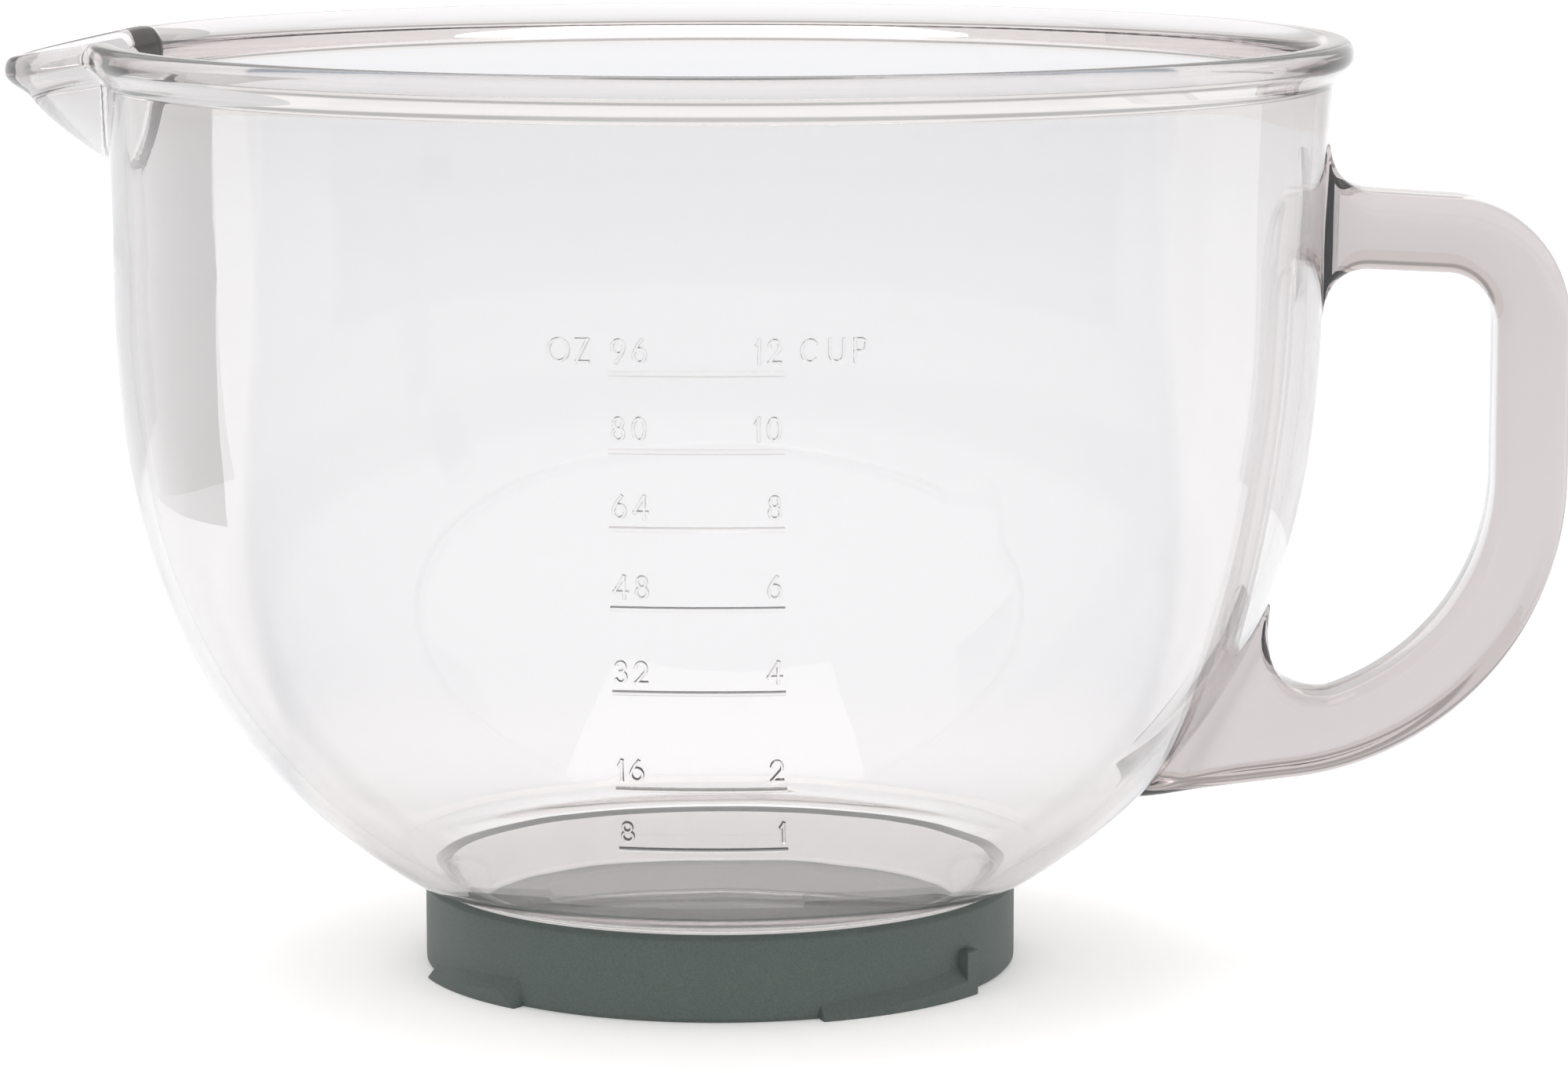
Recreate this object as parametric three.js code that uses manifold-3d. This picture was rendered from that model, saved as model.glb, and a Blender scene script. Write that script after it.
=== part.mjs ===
// Glass mixing bowl with a pouring spout and a D handle, standing on a bayonet base ring.
// Millimetres, +Z up. The origin is on the bowl's axis, on the plane it stands on.
// +X points along the handle and -X along the spout.
import * as THREE from 'three';
import { mergeVertices } from 'three/addons/utils/BufferGeometryUtils.js';
import Module from 'manifold-3d';

const wasm = await Module();
wasm.setup();

// ---- Driving dimensions ----
const GAP = 0.3; // clearance between neighbouring pieces
const CUT_PAST = 1; // how far a cutter runs on past the face it opens

// Glass bowl: the outer wall is a superellipse of revolution that becomes a cylinder at the shoulder.
const WALL_RADIUS = 111;
const SHOULDER_HEIGHT = 137.1;
const BELLY_DROP = 136.6;
const BELLY_POWER = 2.755;
const WALL_POWER = 1.833;
const BELLY_START_HEIGHT = 18.5;
const WALL_THICKNESS = 2.8;
const BOTTOM_THICKNESS = 3;
const RIM_TOP = 172.3;
const RIM_RADIUS = 115.9;
const RIM_UNDERSIDE_HEIGHT = 164.9;
const RIM_ROOT_HEIGHT = 150; // where the wall starts to lean out to the rim
const BOWL_SEGMENTS = 64;
const WALL_STEPS = 12;
const WALL_SPACING = 1.35; // above 1, the wall's rows crowd towards its foot
const SPOUT_CROWDING = 0.5; // share of even spacing left at the spout; lower packs facets tighter there

// Rounded glass bottom, which sits down inside the base collar.
const GLASS_BOTTOM = 4.2;
const FLAT_RADIUS = 41.5;
// [radius, height] round the outside and the inside of the bend from the flat bottom to the wall
const OUTER_BEND = [
  [45.5, 4.6], [48, 6.3], [49.6, 9], [51, 12.2], [52.3, 15.1], [53.7, 16.6], [57, 17.6],
];
const INNER_BEND = [
  [55.6, 20.2], [52, 18.8], [49.7, 16.3], [48.3, 13.5], [46.9, 10.3], [45.6, 8.3], [44, 7.4],
];

// Spout: the wall and rim are pushed outwards into a rounded V.
const SPOUT_ROOT_HEIGHT = 148.4;
const SPOUT_FULL_HEIGHT = 167;
const SPOUT_REACH = 15.3;
const SPOUT_HALF_WIDTH = 26;
const SPOUT_DIP = 3.8;
const SPOUT_TIP_ROUNDING = 0.25;
const SPOUT_EASE = 1.5;

// Handle: a D-shaped glass strap in the XZ plane.
const HANDLE_WIDTH = 20;
const HANDLE_EDGE = 2.6;
const HANDLE_OUTER_X = 156;
const HANDLE_INNER_X = 142.6;
const HANDLE_BAR_TOP = 144.2;
const HANDLE_BAR_BOTTOM = 130.3;
const HANDLE_SWEEP_HEIGHT = 92; // height of the centre of the large lower bend
const HANDLE_SWEEP_OUTER = 56.5;
const HANDLE_SWEEP_INNER = HANDLE_SWEEP_OUTER - (HANDLE_OUTER_X - HANDLE_INNER_X);
const HANDLE_OUTER_CORNER = [22, 23.2]; // radii of the upper bend's outside
const HANDLE_INNER_CORNER = [9.6, 10.2];
const HANDLE_ROOT_TOP = 152; // the upper arm flares between these heights where it meets the wall
const HANDLE_ROOT_BOTTOM = 122.5;
const HANDLE_TAIL_TOP = 68; // where the inside of the lower bend meets the wall
const HANDLE_SWEEP_END_DEG = -84;
const HANDLE_CROOK_START_DEG = -73;
const HANDLE_OVERLAP = 40; // how far the uncut handle reaches inside the wall

// Base collar with bayonet lugs and a flange turned in at its foot.
const COLLAR_RADIUS = 55;
const COLLAR_TOP = 16;
const COLLAR_BORE_RADIUS = 53;
const COLLAR_CHAMFER = 0.8;
const COLLAR_SEGMENTS = 60;
const FLANGE_RADIUS = 36;
const FLANGE_TOP = 1.6;
const LUG_COUNT = 4;
const LUG_STEPS = 8;
const LUG_START_DEG = -69;
const LUG_SPAN_DEG = 30;
const LUG_END_SLANT_DEG = 4;
const STOPPED_LUG_SPAN_DEG = 33;
const LUG_PROUD = 2;
const LUG_START_HEIGHT = 0.4;
const LUG_END_HEIGHT = 3.2;
const LUG_ROOT = 0.5; // how deep a lug or stop is sunk into the collar's wall
const LUG_FACET_HEIGHT = 2.8;
const STOP_SPAN_DEG = 3.4;
const STOP_HEIGHT = 8.5;

// Pieces inside the base: the plate lies on the flange, and the seat ring lies on the plate.
const PLATE_BOTTOM = FLANGE_TOP + GAP;
const PLATE_TOP = 3.9;
const PLATE_RADIUS = COLLAR_BORE_RADIUS - GAP;
// [radius, height] down the inside of the seat ring
const SEAT_BEND = [[52.55, 14.9], [51.3, 12.1], [49.9, 8.9], [48.4, 6.1], [47.2, 5.2]];
const SCREW_COUNT = 6;
const FIRST_SCREW_DEG = 30;
const SCREW_SIDES = 16;
const SCREW_CIRCLE_RADIUS = 41;
const SCREW_SHANK_RADIUS = 0.8;
const SCREW_TOP = 3.3;
const SCREW_HEAD_RADIUS = 1.9;
const SCREW_HEAD_BOTTOM = 0.2;
const SCREW_HEAD_TOP = 0.8;
const SLIP_DISC_RADIUS = 33;

// ---- Materials ----
const glass = new THREE.MeshStandardMaterial({
  color: 0xf2f4f5, roughness: 0.03, metalness: 0, transparent: true, opacity: 0.35,
});
const handleGlass = new THREE.MeshStandardMaterial({
  color: 0xeeeeee, roughness: 0.06, metalness: 0, transparent: true, opacity: 0.45,
});
const greenPlastic = new THREE.MeshStandardMaterial({ color: 0x5f6865, roughness: 0.55, metalness: 0 });
const paleSilicone = new THREE.MeshStandardMaterial({ color: 0xe6e4df, roughness: 0.7, metalness: 0 });
const greySilicone = new THREE.MeshStandardMaterial({ color: 0x4b5250, roughness: 0.85, metalness: 0 });
const steel = new THREE.MeshStandardMaterial({ color: 0xb9bcbf, roughness: 0.3, metalness: 1 });

// ---- Solids ----
const radians = THREE.MathUtils.degToRad;
const group = new THREE.Group();

// Turn a closed three.js geometry into a solid that can be joined or cut.
function solid(geometry) {
  const bare = geometry.clone();
  bare.deleteAttribute('normal');
  bare.deleteAttribute('uv');
  const merged = mergeVertices(bare, 1e-4);
  const corners = merged.index.array;
  const kept = [];
  for (let i = 0; i < corners.length; i += 3) {
    const [a, b, c] = corners.slice(i, i + 3);
    if (a !== b && b !== c && c !== a) kept.push(a, b, c);
  }
  return new wasm.Manifold(new wasm.Mesh({
    numProp: 3,
    vertProperties: new Float32Array(merged.attributes.position.array),
    triVerts: new Uint32Array(kept),
  }));
}

function geometryOf(manifold) {
  const mesh = manifold.getMesh();
  const geometry = new THREE.BufferGeometry();
  geometry.setAttribute('position', new THREE.BufferAttribute(new Float32Array(mesh.vertProperties), 3));
  geometry.setIndex(new THREE.BufferAttribute(new Uint32Array(mesh.triVerts), 1));
  geometry.computeVertexNormals();
  return geometry;
}

function addPiece(name, manifold, material) {
  const mesh = new THREE.Mesh(geometryOf(manifold), material);
  mesh.name = name;
  group.add(mesh);
}

// Revolve [radius, height] points about +Z. Outlines run anticlockwise in the (radius, height) plane.
function revolve(outline, segments) {
  const points = outline.map(([radius, height]) => new THREE.Vector2(radius, height));
  const geometry = new THREE.LatheGeometry(points, segments);
  geometry.rotateX(Math.PI / 2);
  return geometry;
}

function disc(radius, bottom, top, segments = COLLAR_SEGMENTS) {
  return revolve([[0, bottom], [radius, bottom], [radius, top], [0, top]], segments);
}

// Move every vertex of a geometry with a function of its position.
function reshape(geometry, move) {
  const positions = geometry.attributes.position;
  const point = new THREE.Vector3();
  for (let i = 0; i < positions.count; i += 1) {
    move(point.fromBufferAttribute(positions, i));
    positions.setXYZ(i, point.x, point.y, point.z);
  }
  return geometry;
}

// ---- Glass bowl ----
function wallRadius(height) {
  const drop = THREE.MathUtils.clamp((SHOULDER_HEIGHT - height) / BELLY_DROP, 0, 1);
  return WALL_RADIUS * (1 - drop ** BELLY_POWER) ** (1 / WALL_POWER);
}

// Points up the outer wall from the base ring to the rim, closer together where it bends most.
function outerWall(steps) {
  const points = [];
  for (let i = 0; i <= steps; i += 1) {
    const rise = (i / steps) ** WALL_SPACING;
    const height = THREE.MathUtils.lerp(BELLY_START_HEIGHT, SHOULDER_HEIGHT, rise);
    points.push([wallRadius(height), height]);
  }
  return points;
}

// The inner wall follows the outer one, thickening towards the bottom.
function innerWall(outer) {
  return outer.slice(1, -1).map(([radius, height], i) => {
    const [beforeRadius, beforeHeight] = outer[i];
    const [afterRadius, afterHeight] = outer[i + 2];
    const along = new THREE.Vector2(afterRadius - beforeRadius, afterHeight - beforeHeight).normalize();
    const depth = THREE.MathUtils.clamp(1 - (height - GLASS_BOTTOM) / SHOULDER_HEIGHT, 0, 1);
    const thickness = THREE.MathUtils.lerp(WALL_THICKNESS, BOTTOM_THICKNESS, depth ** 2);
    return [radius - along.y * thickness, height + along.x * thickness];
  });
}

function bowlOutline() {
  const outer = outerWall(WALL_STEPS);
  const inner = innerWall(outer).reverse();
  const floorHeight = GLASS_BOTTOM + BOTTOM_THICKNESS;
  const underside = [
    [0, GLASS_BOTTOM],
    [FLAT_RADIUS, GLASS_BOTTOM],
    ...OUTER_BEND,
  ];
  const rim = [
    [WALL_RADIUS + 0.4, RIM_ROOT_HEIGHT],
    [WALL_RADIUS + 1.2, RIM_UNDERSIDE_HEIGHT - 0.3],
    [WALL_RADIUS + 2, RIM_UNDERSIDE_HEIGHT + 0.6],
    [RIM_RADIUS - 0.6, RIM_TOP - 4.7],
    [RIM_RADIUS, RIM_TOP - 2.9],
    [RIM_RADIUS - 0.7, RIM_TOP - 1.1],
    [RIM_RADIUS - 2.4, RIM_TOP],
    [WALL_RADIUS + 0.8, RIM_TOP],
    [WALL_RADIUS - 1.2, RIM_TOP - 1.7],
    [WALL_RADIUS - 2.1, RIM_TOP - 4.6],
    [WALL_RADIUS - 2.4, RIM_ROOT_HEIGHT],
  ];
  const floor = [
    ...INNER_BEND,
    [FLAT_RADIUS, floorHeight],
    [0, floorHeight],
  ];
  return [...underside, ...outer, ...rim, ...inner, ...floor];
}

// Crowd the facets of a revolved bowl towards the spout, at -X.
function crowdTowardsSpout(point) {
  const radius = Math.hypot(point.x, point.y);
  const turn = Math.atan2(-point.y, -point.x) / Math.PI;
  const crowded = Math.PI * (SPOUT_CROWDING * turn + (1 - SPOUT_CROWDING) * turn ** 3);
  point.set(-radius * Math.cos(crowded), -radius * Math.sin(crowded), point.z);
}

// Push the wall and rim outwards, and dip the rim, inside the spout's outline.
function pushSpout(point) {
  const climb = (point.z - SPOUT_ROOT_HEIGHT) / (SPOUT_FULL_HEIGHT - SPOUT_ROOT_HEIGHT);
  if (climb <= 0) return;
  const level = Math.min(climb, 1);
  const radius = Math.hypot(point.x, point.y);
  const side = Math.abs(Math.atan2(-point.y, -point.x)) * WALL_RADIUS;
  const across = side / (SPOUT_HALF_WIDTH * Math.sqrt(level));
  if (across >= 1) return;
  const blunt = SPOUT_TIP_ROUNDING;
  const crest = Math.hypot(1, blunt) - Math.hypot(across, blunt);
  const bulge = crest / (Math.hypot(1, blunt) - blunt);
  const push = SPOUT_REACH * (1 - (1 - level) ** SPOUT_EASE) * bulge;
  const stretched = (radius + push) / radius;
  point.set(point.x * stretched, point.y * stretched, point.z - SPOUT_DIP * level * bulge);
}

function glassBowl() {
  const geometry = revolve(bowlOutline(), BOWL_SEGMENTS);
  geometry.rotateZ(-Math.PI / 2);
  reshape(geometry, crowdTowardsSpout);
  reshape(geometry, pushSpout);
  return solid(geometry);
}

// ---- Handle ----
// Outline of the D in the XZ plane. Its bowl side runs past the wall and is cut back to it.
function handleShape() {
  const centreX = HANDLE_OUTER_X - HANDLE_SWEEP_OUTER;
  const hidden = WALL_RADIUS - HANDLE_OVERLAP;
  const [outerX, outerZ] = HANDLE_OUTER_CORNER;
  const [innerX, innerZ] = HANDLE_INNER_CORNER;
  const outerCornerZ = HANDLE_BAR_TOP - 0.8 - outerZ;
  const innerCornerZ = HANDLE_BAR_BOTTOM - 0.6 - innerZ;
  const tailZ = HANDLE_SWEEP_HEIGHT - 60;
  const crookStart = radians(HANDLE_CROOK_START_DEG);
  const crookX = centreX + HANDLE_SWEEP_INNER * Math.cos(crookStart);
  const crookZ = HANDLE_SWEEP_HEIGHT + HANDLE_SWEEP_INNER * Math.sin(crookStart);
  const shape = new THREE.Shape();
  shape.moveTo(hidden, HANDLE_ROOT_TOP);
  shape.lineTo(WALL_RADIUS + 1, HANDLE_ROOT_TOP);
  shape.quadraticCurveTo(WALL_RADIUS + 1.6, HANDLE_BAR_TOP + 0.8, WALL_RADIUS + 9, HANDLE_BAR_TOP);
  shape.lineTo(HANDLE_OUTER_X - outerX, outerCornerZ + outerZ);
  shape.absellipse(HANDLE_OUTER_X - outerX, outerCornerZ, outerX, outerZ, Math.PI / 2, 0, true, 0);
  shape.absarc(centreX, HANDLE_SWEEP_HEIGHT, HANDLE_SWEEP_OUTER, 0, radians(HANDLE_SWEEP_END_DEG), true);
  shape.lineTo(WALL_RADIUS - 29, tailZ + 0.5);
  shape.lineTo(hidden, tailZ);
  shape.lineTo(hidden, HANDLE_TAIL_TOP);
  shape.lineTo(wallRadius(HANDLE_TAIL_TOP), HANDLE_TAIL_TOP);
  shape.quadraticCurveTo(WALL_RADIUS - 12, HANDLE_TAIL_TOP - 17.5, crookX, crookZ);
  shape.absarc(centreX, HANDLE_SWEEP_HEIGHT, HANDLE_SWEEP_INNER, crookStart, 0, false);
  shape.absellipse(HANDLE_INNER_X - innerX, innerCornerZ, innerX, innerZ, 0, Math.PI / 2, false, 0);
  shape.lineTo(WALL_RADIUS + 6.5, HANDLE_BAR_BOTTOM);
  shape.quadraticCurveTo(WALL_RADIUS + 0.4, HANDLE_BAR_BOTTOM - 0.6, WALL_RADIUS - 0.4, HANDLE_ROOT_BOTTOM);
  shape.lineTo(hidden, HANDLE_ROOT_BOTTOM);
  shape.closePath();
  return shape;
}

function handle() {
  const geometry = new THREE.ExtrudeGeometry(handleShape(), {
    depth: HANDLE_WIDTH - 2 * HANDLE_EDGE,
    bevelEnabled: true,
    bevelThickness: HANDLE_EDGE,
    bevelSize: HANDLE_EDGE,
    bevelOffset: -HANDLE_EDGE,
    bevelSegments: 2,
    curveSegments: 10,
  });
  geometry.rotateX(Math.PI / 2);
  geometry.translate(0, HANDLE_WIDTH / 2 - HANDLE_EDGE, 0);
  const clearance = outerWall(WALL_STEPS).map(([radius, height]) => [radius + GAP, height]);
  const envelope = revolve([
    [0, BELLY_START_HEIGHT],
    ...clearance,
    [WALL_RADIUS + 0.4 + GAP, RIM_ROOT_HEIGHT],
    [WALL_RADIUS + 1.2 + GAP, RIM_UNDERSIDE_HEIGHT],
    [0, RIM_UNDERSIDE_HEIGHT],
  ], BOWL_SEGMENTS);
  envelope.rotateZ(-Math.PI / 2);
  reshape(envelope, crowdTowardsSpout);
  return solid(geometry).subtract(solid(envelope));
}

// ---- Base collar ----
// Bend a unit box (x: along the arc, y: outwards, z: up) into a piece standing on the collar's wall.
// shape gives the height of each point, and how many degrees it lags behind its place on the arc.
function bentBlock(startDeg, spanDeg, steps, shape) {
  const box = new THREE.BoxGeometry(1, 1, 1, steps, 1, 1);
  return reshape(box, (point) => {
    const along = 0.5 - point.x;
    const outwards = point.y + 0.5;
    const { height, lag } = shape(along, outwards, point.z + 0.5);
    const radius = COLLAR_RADIUS - LUG_ROOT + outwards * (LUG_PROUD + LUG_ROOT);
    const angle = radians(startDeg + along * spanDeg - lag);
    point.set(radius * Math.cos(angle), radius * Math.sin(angle), height);
  });
}

// A wedge that climbs along the collar, with its upper outer edge cut to a sloping facet.
function bayonetLug(startDeg, spanDeg, slantDeg) {
  return bentBlock(startDeg, spanDeg, LUG_STEPS, (along, outwards, up) => {
    const edgeHeight = THREE.MathUtils.lerp(LUG_START_HEIGHT, LUG_END_HEIGHT, along);
    const top = edgeHeight + (1 - outwards) * LUG_FACET_HEIGHT;
    return { height: up * top, lag: slantDeg * along * outwards * up };
  });
}

function bayonetStop(startDeg) {
  return bentBlock(startDeg, STOP_SPAN_DEG, 1, (along, outwards, up) => (
    { height: up * STOP_HEIGHT, lag: 0 }
  ));
}

function baseCollar() {
  const outline = [
    [FLANGE_RADIUS, 0],
    [COLLAR_RADIUS - COLLAR_CHAMFER, 0],
    [COLLAR_RADIUS, COLLAR_CHAMFER],
    [COLLAR_RADIUS, COLLAR_TOP - COLLAR_CHAMFER],
    [COLLAR_RADIUS - COLLAR_CHAMFER, COLLAR_TOP],
    [COLLAR_BORE_RADIUS + 0.9, COLLAR_TOP],
    [COLLAR_BORE_RADIUS, COLLAR_TOP - 1.1],
    [COLLAR_BORE_RADIUS, FLANGE_TOP],
    [FLANGE_RADIUS, FLANGE_TOP],
    [FLANGE_RADIUS, 0],
  ];
  let collar = solid(revolve(outline, COLLAR_SEGMENTS));
  for (let i = 0; i < LUG_COUNT; i += 1) {
    const start = LUG_START_DEG + (i * 360) / LUG_COUNT;
    if (i % 2 === 0) {
      collar = collar.add(solid(bayonetLug(start, STOPPED_LUG_SPAN_DEG, 0)));
      collar = collar.add(solid(bayonetStop(start + STOPPED_LUG_SPAN_DEG)));
    } else {
      collar = collar.add(solid(bayonetLug(start, LUG_SPAN_DEG, LUG_END_SLANT_DEG)));
    }
  }
  for (const [x, y] of screwPlaces()) {
    collar = collar.subtract(upright(SCREW_SHANK_RADIUS + GAP, -CUT_PAST, FLANGE_TOP + CUT_PAST, x, y));
    collar = collar.subtract(upright(SCREW_HEAD_RADIUS + GAP, -CUT_PAST, SCREW_HEAD_TOP + GAP, x, y));
  }
  return collar;
}

// ---- Pieces inside the base ----
function upright(radius, bottom, top, x, y) {
  const geometry = new THREE.CylinderGeometry(radius, radius, top - bottom, SCREW_SIDES);
  geometry.rotateX(Math.PI / 2);
  geometry.translate(x, y, (bottom + top) / 2);
  return solid(geometry);
}

function screwPlaces() {
  return Array.from({ length: SCREW_COUNT }, (unused, i) => {
    const angle = radians(FIRST_SCREW_DEG + (i * 360) / SCREW_COUNT);
    return [SCREW_CIRCLE_RADIUS * Math.cos(angle), SCREW_CIRCLE_RADIUS * Math.sin(angle)];
  });
}

// A flat disc with a blind hole for each screw in its underside.
function basePlate() {
  let plate = solid(disc(PLATE_RADIUS, PLATE_BOTTOM, PLATE_TOP));
  for (const [x, y] of screwPlaces()) {
    const hole = upright(SCREW_SHANK_RADIUS + GAP, PLATE_BOTTOM - CUT_PAST, SCREW_TOP + GAP, x, y);
    plate = plate.subtract(hole);
  }
  return plate;
}

// A soft wedge-shaped ring that fills the space between the plate, the collar and the glass.
function seatRing() {
  const bottom = PLATE_TOP + GAP;
  const [innerRadius] = SEAT_BEND[SEAT_BEND.length - 1];
  return solid(revolve([
    [innerRadius, bottom],
    [PLATE_RADIUS, bottom],
    [PLATE_RADIUS, SEAT_BEND[0][1]],
    ...SEAT_BEND,
    [innerRadius, bottom],
  ], COLLAR_SEGMENTS));
}

function baseScrew([x, y]) {
  const head = upright(SCREW_HEAD_RADIUS, SCREW_HEAD_BOTTOM, SCREW_HEAD_TOP, x, y);
  return head.add(upright(SCREW_SHANK_RADIUS, SCREW_HEAD_BOTTOM + GAP, SCREW_TOP, x, y));
}

// ---- Assembly ----
addPiece('glass_bowl', glassBowl(), glass);
addPiece('handle', handle(), handleGlass);
addPiece('base_collar', baseCollar(), greenPlastic);
addPiece('base_plate', basePlate(), greenPlastic);
addPiece('seat_ring', seatRing(), paleSilicone);
addPiece('anti_slip_disc', solid(disc(SLIP_DISC_RADIUS, 0, FLANGE_TOP)), greySilicone);
screwPlaces().forEach((place, i) => addPiece(`base_screw_${i + 1}`, baseScrew(place), steel));

export default group;
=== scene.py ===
import math

import bmesh
import bpy
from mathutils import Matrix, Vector


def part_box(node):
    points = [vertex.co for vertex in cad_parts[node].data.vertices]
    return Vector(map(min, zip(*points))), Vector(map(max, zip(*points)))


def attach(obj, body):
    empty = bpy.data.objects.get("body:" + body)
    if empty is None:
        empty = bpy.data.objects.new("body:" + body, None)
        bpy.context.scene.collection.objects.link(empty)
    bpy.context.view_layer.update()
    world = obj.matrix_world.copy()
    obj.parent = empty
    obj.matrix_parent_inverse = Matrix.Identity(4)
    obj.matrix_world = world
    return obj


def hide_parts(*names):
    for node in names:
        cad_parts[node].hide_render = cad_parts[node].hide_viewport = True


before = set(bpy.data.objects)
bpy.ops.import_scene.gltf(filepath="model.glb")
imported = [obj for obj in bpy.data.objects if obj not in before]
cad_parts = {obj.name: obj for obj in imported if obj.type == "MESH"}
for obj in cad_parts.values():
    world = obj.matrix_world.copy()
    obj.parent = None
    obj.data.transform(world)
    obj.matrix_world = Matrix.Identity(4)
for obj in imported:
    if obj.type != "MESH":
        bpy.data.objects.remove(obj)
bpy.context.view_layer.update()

MM = 0.001
TURN = 2 * math.pi


def mm(*pairs):
    return [(a * MM, b * MM) for a, b in pairs]


# ---- Driving dimensions, in metres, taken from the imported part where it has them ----
bowl_low, bowl_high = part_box("glass_bowl")
handle_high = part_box("handle")[1]
collar_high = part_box("base_collar")[1]
plate_low, plate_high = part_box("base_plate")
seat_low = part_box("seat_ring")[0]
disc_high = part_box("anti_slip_disc")[1]
screw_low, screw_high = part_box("base_screw_1")

# Glass wall: a superellipse of revolution that becomes a cylinder at the shoulder.
RIM_TOP = bowl_high[2]
RIM_RADIUS = bowl_high[1]
GLASS_BOTTOM = bowl_low[2]
RIM_OVERHANG = 4.9 * MM
WALL_RADIUS = RIM_RADIUS - RIM_OVERHANG
WALL_THICKNESS = 2.8 * MM
BOTTOM_THICKNESS = 3.0 * MM
SHOULDER_HEIGHT = 137.1 * MM
BELLY_DROP = 136.6 * MM
BELLY_POWER = 2.755
WALL_POWER = 1.833
BELLY_START_HEIGHT = 18.5 * MM
WALL_STEPS = 52
WALL_SPACING = 1.35
FLAT_RADIUS = 41.5 * MM
POLE_RADIUS = 0.2 * MM
OUTER_BEND = mm((45.5, 4.6), (48, 6.3), (49.6, 9), (51, 12.2), (52.3, 15.1), (53.7, 16.6), (57, 17.6))
INNER_BEND = mm((55.6, 20.2), (52, 18.8), (49.7, 16.3), (48.3, 13.5), (46.9, 10.3), (45.6, 8.3), (44, 7.4))
BOWL_COLUMNS = 212
CORE_BOTTOM = 12 * MM
CORE_TOP = 158 * MM
CORE_INSET = 1.5 * MM

# Spout: the wall and rim pushed outwards into a rounded V.
SPOUT_ROOT_HEIGHT = 148.4 * MM
SPOUT_FULL_HEIGHT = 167 * MM
SPOUT_REACH = -bowl_low[0] - RIM_RADIUS
SPOUT_HALF_WIDTH = 26 * MM
SPOUT_DIP = 3.8 * MM
SPOUT_TIP_ROUNDING = 0.25
SPOUT_CROWDING = 0.45
SPOUT_RISE_POWER = 1.5

# Handle: a D-shaped strap in the XZ plane. Its sweep ends at angles in degrees.
HANDLE_HALF_WIDTH = handle_high[1]
HANDLE_OUTER_X = handle_high[0]
HANDLE_INNER_X = HANDLE_OUTER_X - 13.4 * MM
HANDLE_CORNER = 3.4 * MM
HANDLE_FLARE = 1.4 * MM
FLARE_REACH = 10 * MM
FLARE_POWER = 2.2
CORNER_LIMIT = 0.9
ROOT_DEPTH = 8 * MM
ROOT_TOP = 153 * MM
ROOT_BOTTOM = 121.5 * MM
BAR_TOP = 144.2 * MM
BAR_BOTTOM = 130.3 * MM
ELBOW = (22 * MM, 23.2 * MM)
ELBOW_DROP = 24 * MM
CROOK = (9.6 * MM, 10.2 * MM)
CROOK_DROP = 10.8 * MM
SWEEP_HEIGHT = 92 * MM
SWEEP_OUTER = 56.5 * MM
SWEEP_INNER = SWEEP_OUTER - (HANDLE_OUTER_X - HANDLE_INNER_X)
SWEEP_OUTER_END = -84
SWEEP_INNER_END = -72
TAIL_INSET = 37 * MM
TAIL_DROP = 60.2 * MM
TAIL_ROOT_HEIGHT = 68 * MM
TAIL_CONTROL = (99.5 * MM, 50.5 * MM)

# Volume marks in millimetres: (height, cups), with the ounces beside them.
MARKS = ((123.1, 12), (110.1, 10), (96.9, 8), (83.1, 6), (68.0, 4), (49.6, 2), (37.2, 1))
MARK_HALF_WIDTH = 14.2
MARK_PROUD = 0.38
MARK_ROOT = 0.1
LINE_PROUD = 0.3
MARK_SUNK = 0.6
LINE_THICKNESS = 0.9
STROKE = 0.62
DIGIT_HEIGHT = 4.3
DIGIT_RAISE = 1.2
DIGIT_WIDTH = 2.6
DIGIT_GAP = 0.95
OUNCES_PER_CUP = 8
OZ_MARGIN, OZ_GAP = 3.5, 0.8
CUP_MARGIN, CUP_GAP = 3.0, 1.3
LINE_STEPS = 16
LOOP_STEPS = 22
SWEEP_STEPS = 14
CURVE_STEPS = 8
STROKE_TOP = 0.5

# Base collar and the pieces inside it. Starts, spans and slants are degrees, from +X towards +Y.
COLLAR_RADIUS = 55 * MM
COLLAR_TOP = collar_high[2]
COLLAR_BORE = 53 * MM
FLANGE_RADIUS = 36 * MM
FLANGE_TOP = 1.6 * MM
LUG_COUNT = 4
LUG_START = -69
LUG_SPAN = 30
LUG_END_SLANT = 4
STOPPED_LUG_SPAN = 33
LUG_PROUD = 2 * MM
LUG_ROOT = 0.5 * MM
LUG_FOOT = 0.02 * MM
LUG_FOOT_CHAMFER = (0.2 * MM, 0.25 * MM)
LUG_EDGE_CHAMFER = 0.1 * MM
LUG_START_HEIGHT = 0.5 * MM
LUG_END_HEIGHT = 3.2 * MM
LUG_FACET = 2.8 * MM
LUG_STEPS = 24
STOP_SPAN = 3.4
STOP_HEIGHT = 8.5 * MM
STOP_CHAMFER = 0.3 * MM
STOP_STEPS = 3
PLATE_BOTTOM = plate_low[2]
PLATE_TOP = plate_high[2]
PLATE_CHAMFER = 0.3 * MM
SEAT_BEND = mm((52.6, 15.2), (51.3, 12.1), (49.9, 8.9), (48.4, 6.1), (47.2, 5.2))
SCREW_COUNT = 6
SCREW_START = 30
SCREW_CIRCLE = 41 * MM
SCREW_HEAD_RADIUS = 1.9 * MM
SCREW_SHANK_RADIUS = 0.8 * MM
SCREW_HEAD_HEIGHT = 0.6 * MM
SCREW_ROOT_SHARE = 0.72
SCREW_PITCH = 0.55 * MM
SCREW_HOLE_RADIUS = 1.1 * MM
CROSS_LENGTH = 1.15 * MM
CROSS_WIDTH = 0.22 * MM
CROSS_DEPTH = 0.42 * MM
GROOVE_COUNT = 4
GROOVE_PITCH = 6 * MM
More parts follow.
